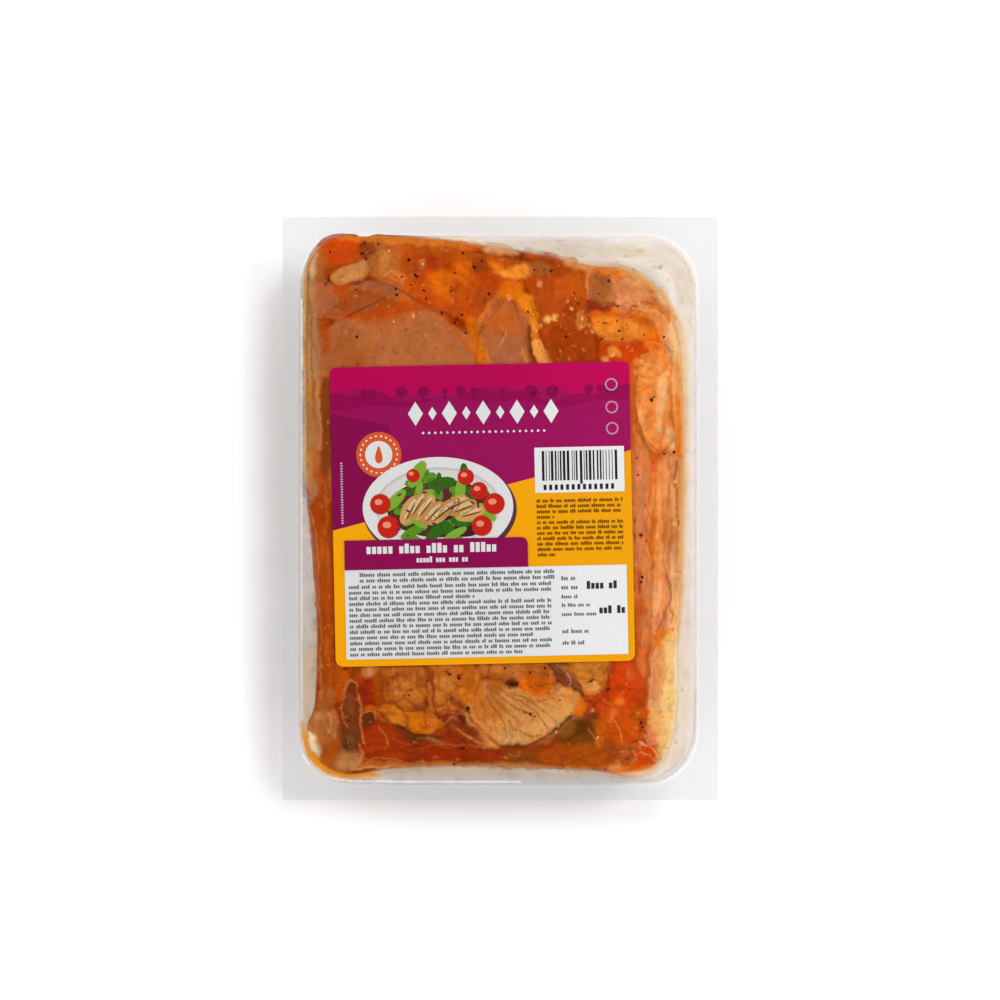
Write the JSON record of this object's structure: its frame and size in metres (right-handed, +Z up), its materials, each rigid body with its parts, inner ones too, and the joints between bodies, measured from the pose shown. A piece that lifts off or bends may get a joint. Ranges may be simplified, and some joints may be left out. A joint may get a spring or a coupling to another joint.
{
  "type": "meat tray pack",
  "caption": "Sealed clear plastic tray of marinated meat steaks with a clear film lid and a square printed label, for a chilled shelf.",
  "frame": {"origin": "on the floor, at the middle of the bounding box's bottom", "axes": "+X to the label's right, +Y to the label's top along the pack, +Z up through the film"},
  "size_m": [0.144, 0.193, 0.0314],
  "materials": {
    "tray_clear": "clear",
    "film_clear": "clear",
    "label_print": "gloss",
    "meat_smooth": "wet",
    "meat_sauced": "wet",
    "meat_pale": "wet",
    "meat_strip": "wet",
    "meat_cut": "wet",
    "skin_dark": "wet",
    "fat": "wet",
    "marinated_bed": "wet"
  },
  "bodies": {
    "root": {"tray": "tray_clear", "top_film": "film_clear", "label": "label_print", "meat_bed": "marinated_bed", "corner_steak_top_left": "meat_sauced", "pale_fat_left": "fat", "trimming_left": "meat_strip", "upper_left_steak": "meat_smooth", "top_steak": "meat_sauced", "tongue_steak": "meat_smooth", "fat_strand": "fat", "top_middle_steak": "meat_smooth", "cut_end_top_right": "meat_cut", "rim_steak_top_right": "meat_sauced", "yellow_fat_top_right": "fat", "sauced_steak_right": "meat_sauced", "fillet_right": "meat_pale", "rim_strip_right": "meat_sauced", "inner_strip_right": "meat_strip", "outer_strip_right": "meat_strip", "low_strip_right": "meat_strip", "sauced_steak_low_right": "meat_sauced", "pink_trimming": "meat_strip", "corner_steak_low_right": "meat_cut", "fan_steak": "meat_pale", "left_lump": "meat_pale", "fat_lobes": "fat", "middle_lump": "meat_pale", "right_lump": "meat_pale", "tendon": "skin_dark", "tan_piece": "meat_pale", "skin_wedge": "skin_dark", "round_trimming": "skin_dark", "corner_steak_low_left": "meat_cut", "sauced_steak_low_left": "meat_sauced", "sauced_steak_low_middle": "meat_sauced", "skin_flap": "skin_dark", "left_steak": "meat_sauced", "middle_steak": "meat_smooth", "low_middle_steak": "meat_pale", "right_steak": "meat_sauced"}
  },
  "joints": []
}
